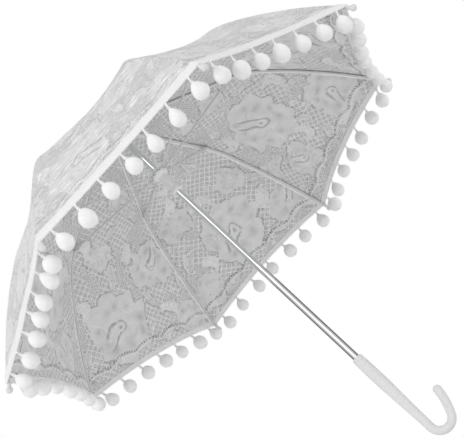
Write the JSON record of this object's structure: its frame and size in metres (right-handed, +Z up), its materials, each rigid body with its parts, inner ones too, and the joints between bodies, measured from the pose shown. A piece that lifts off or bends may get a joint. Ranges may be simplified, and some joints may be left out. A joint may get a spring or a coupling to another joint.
{
  "type": "lace parasol",
  "caption": "Open miniature parasol: folding steel ribs and stretchers on a sliding runner, chromed shaft, hook handle and a lace canopy edged with pom-pom trim.",
  "frame": {"origin": "middle of the straight grip, on the shaft's axis", "axes": "+Z up the shaft towards the ferrule, +X towards the hook's free limb"},
  "size_m": [0.3802, 0.3802, 0.3866],
  "materials": {
    "chrome_tube": "polished chrome plate",
    "white_plastic": "glossy moulded",
    "grey_plastic": "satin moulded",
    "rib_steel": "drawn steel wire",
    "bright_steel": "bright turned",
    "lace": "white cotton lace with floral motifs on a square net",
    "pompom_yarn": "white woven tape and soft yarn balls"
  },
  "bodies": {
    "frame": {"shaft_tube": "chrome_tube", "handle": "white_plastic", "ferrule": "white_plastic", "top_notch": "grey_plastic", "top_notch_wire": "rib_steel", "stop_pin": "rib_steel", "canopy_cap": "white_plastic"},
    "top_catch": {"top_spring": "rib_steel"},
    "bottom_catch": {"bottom_spring": "rib_steel"},
    "rib_1": {"rib_1": "rib_steel", "rivet_1": "bright_steel", "rib_tip_1": "white_plastic", "lace_panel_1": "lace", "pompom_trim_1": "pompom_yarn"},
    "rib_2": {"rib_2": "rib_steel", "rivet_2": "bright_steel", "rib_tip_2": "white_plastic", "lace_panel_2": "lace", "pompom_trim_2": "pompom_yarn"},
    "rib_3": {"rib_3": "rib_steel", "rivet_3": "bright_steel", "rib_tip_3": "white_plastic", "lace_panel_3": "lace", "pompom_trim_3": "pompom_yarn"},
    "rib_4": {"rib_4": "rib_steel", "rivet_4": "bright_steel", "rib_tip_4": "white_plastic", "lace_panel_4": "lace", "pompom_trim_4": "pompom_yarn"},
    "rib_5": {"rib_5": "rib_steel", "rivet_5": "bright_steel", "rib_tip_5": "white_plastic", "lace_panel_5": "lace", "pompom_trim_5": "pompom_yarn"},
    "rib_6": {"rib_6": "rib_steel", "rivet_6": "bright_steel", "rib_tip_6": "white_plastic", "lace_panel_6": "lace", "pompom_trim_6": "pompom_yarn"},
    "rib_7": {"rib_7": "rib_steel", "rivet_7": "bright_steel", "rib_tip_7": "white_plastic", "lace_panel_7": "lace", "pompom_trim_7": "pompom_yarn"},
    "rib_8": {"rib_8": "rib_steel", "rivet_8": "bright_steel", "rib_tip_8": "white_plastic", "lace_panel_8": "lace", "pompom_trim_8": "pompom_yarn"},
    "stretcher_1": {"stretcher_1": "rib_steel"},
    "stretcher_2": {"stretcher_2": "rib_steel"},
    "stretcher_3": {"stretcher_3": "rib_steel"},
    "stretcher_4": {"stretcher_4": "rib_steel"},
    "stretcher_5": {"stretcher_5": "rib_steel"},
    "stretcher_6": {"stretcher_6": "rib_steel"},
    "stretcher_7": {"stretcher_7": "rib_steel"},
    "stretcher_8": {"stretcher_8": "rib_steel"},
    "runner": {"runner": "grey_plastic", "runner_wire": "rib_steel"}
  },
  "joints": [
    {"name": "rib_1_fold", "type": "hinge", "parent": "frame", "child": "rib_1", "pos_m": [0.00462, -0.00191, 0.312], "axis": [0.3827, 0.9239, 0], "range_deg": [0, 53.5], "deforming": ["lace_panel_1", "pompom_trim_1"]},
    {"name": "rib_2_fold", "type": "hinge", "parent": "frame", "child": "rib_2", "pos_m": [0.00462, 0.00191, 0.312], "axis": [-0.3827, 0.9239, 0], "range_deg": [0, 53.5], "deforming": ["lace_panel_2", "pompom_trim_2"]},
    {"name": "rib_3_fold", "type": "hinge", "parent": "frame", "child": "rib_3", "pos_m": [0.00191, 0.00462, 0.312], "axis": [-0.9239, 0.3827, 0], "range_deg": [0, 53.5], "deforming": ["lace_panel_3", "pompom_trim_3"]},
    {"name": "rib_4_fold", "type": "hinge", "parent": "frame", "child": "rib_4", "pos_m": [-0.00191, 0.00462, 0.312], "axis": [-0.9239, -0.3827, 0], "range_deg": [0, 53.5], "deforming": ["lace_panel_4", "pompom_trim_4"]},
    {"name": "rib_5_fold", "type": "hinge", "parent": "frame", "child": "rib_5", "pos_m": [-0.00462, 0.00191, 0.312], "axis": [-0.3827, -0.9239, 0], "range_deg": [0, 53.5], "deforming": ["lace_panel_5", "pompom_trim_5"]},
    {"name": "rib_6_fold", "type": "hinge", "parent": "frame", "child": "rib_6", "pos_m": [-0.00462, -0.00191, 0.312], "axis": [0.3827, -0.9239, 0], "range_deg": [0, 53.5], "deforming": ["lace_panel_6", "pompom_trim_6"]},
    {"name": "rib_7_fold", "type": "hinge", "parent": "frame", "child": "rib_7", "pos_m": [-0.00191, -0.00462, 0.312], "axis": [0.9239, -0.3827, 0], "range_deg": [0, 53.5], "deforming": ["lace_panel_7", "pompom_trim_7"]},
    {"name": "rib_8_fold", "type": "hinge", "parent": "frame", "child": "rib_8", "pos_m": [0.00191, -0.00462, 0.312], "axis": [0.9239, 0.3827, 0], "range_deg": [0, 53.5], "deforming": ["lace_panel_8", "pompom_trim_8"]},
    {"name": "stretcher_1_fold", "type": "hinge", "parent": "rib_1", "child": "stretcher_1", "pos_m": [0.09869, -0.04088, 0.28145], "axis": [0.3827, 0.9239, 0], "range_deg": [-107, 0]},
    {"name": "stretcher_2_fold", "type": "hinge", "parent": "rib_2", "child": "stretcher_2", "pos_m": [0.09869, 0.04088, 0.28145], "axis": [-0.3827, 0.9239, 0], "range_deg": [-107, 0]},
    {"name": "stretcher_3_fold", "type": "hinge", "parent": "rib_3", "child": "stretcher_3", "pos_m": [0.04088, 0.09869, 0.28145], "axis": [-0.9239, 0.3827, 0], "range_deg": [-107, 0]},
    {"name": "stretcher_4_fold", "type": "hinge", "parent": "rib_4", "child": "stretcher_4", "pos_m": [-0.04088, 0.09869, 0.28145], "axis": [-0.9239, -0.3827, 0], "range_deg": [-107, 0]},
    {"name": "stretcher_5_fold", "type": "hinge", "parent": "rib_5", "child": "stretcher_5", "pos_m": [-0.09869, 0.04088, 0.28145], "axis": [-0.3827, -0.9239, 0], "range_deg": [-107, 0]},
    {"name": "stretcher_6_fold", "type": "hinge", "parent": "rib_6", "child": "stretcher_6", "pos_m": [-0.09869, -0.04088, 0.28145], "axis": [0.3827, -0.9239, 0], "range_deg": [-107, 0]},
    {"name": "stretcher_7_fold", "type": "hinge", "parent": "rib_7", "child": "stretcher_7", "pos_m": [-0.04088, -0.09869, 0.28145], "axis": [0.9239, -0.3827, 0], "range_deg": [-107, 0]},
    {"name": "stretcher_8_fold", "type": "hinge", "parent": "rib_8", "child": "stretcher_8", "pos_m": [0.04088, -0.09869, 0.28145], "axis": [0.9239, 0.3827, 0], "range_deg": [-107, 0]},
    {"name": "runner_slide_hinge", "type": "hinge", "parent": "stretcher_1", "child": "runner", "pos_m": [0.00462, -0.00191, 0.25091], "axis": [0.3827, 0.9239, 0], "range_deg": [0, 53.5]},
    {"name": "top_catch_press", "type": "hinge", "parent": "frame", "child": "top_catch", "pos_m": [0, 0.002, 0.21101], "axis": [1, 0, 0], "range_deg": [0, 6.8], "stiffness_Nm_per_rad": 0.03},
    {"name": "bottom_catch_press", "type": "hinge", "parent": "frame", "child": "bottom_catch", "pos_m": [0, 0.002, 0.10917], "axis": [-1, 0, 0], "range_deg": [0, 4.2], "stiffness_Nm_per_rad": 0.03}
  ],
  "couplings": [
    {"joint": "rib_2_fold", "follows": "rib_1_fold", "ratio": 1},
    {"joint": "rib_3_fold", "follows": "rib_1_fold", "ratio": 1},
    {"joint": "rib_4_fold", "follows": "rib_1_fold", "ratio": 1},
    {"joint": "rib_5_fold", "follows": "rib_1_fold", "ratio": 1},
    {"joint": "rib_6_fold", "follows": "rib_1_fold", "ratio": 1},
    {"joint": "rib_7_fold", "follows": "rib_1_fold", "ratio": 1},
    {"joint": "rib_8_fold", "follows": "rib_1_fold", "ratio": 1},
    {"joint": "stretcher_1_fold", "follows": "rib_1_fold", "ratio": -2},
    {"joint": "stretcher_2_fold", "follows": "rib_1_fold", "ratio": -2},
    {"joint": "stretcher_3_fold", "follows": "rib_1_fold", "ratio": -2},
    {"joint": "stretcher_4_fold", "follows": "rib_1_fold", "ratio": -2},
    {"joint": "stretcher_5_fold", "follows": "rib_1_fold", "ratio": -2},
    {"joint": "stretcher_6_fold", "follows": "rib_1_fold", "ratio": -2},
    {"joint": "stretcher_7_fold", "follows": "rib_1_fold", "ratio": -2},
    {"joint": "stretcher_8_fold", "follows": "rib_1_fold", "ratio": -2},
    {"joint": "runner_slide_hinge", "follows": "rib_1_fold", "ratio": 1}
  ]
}
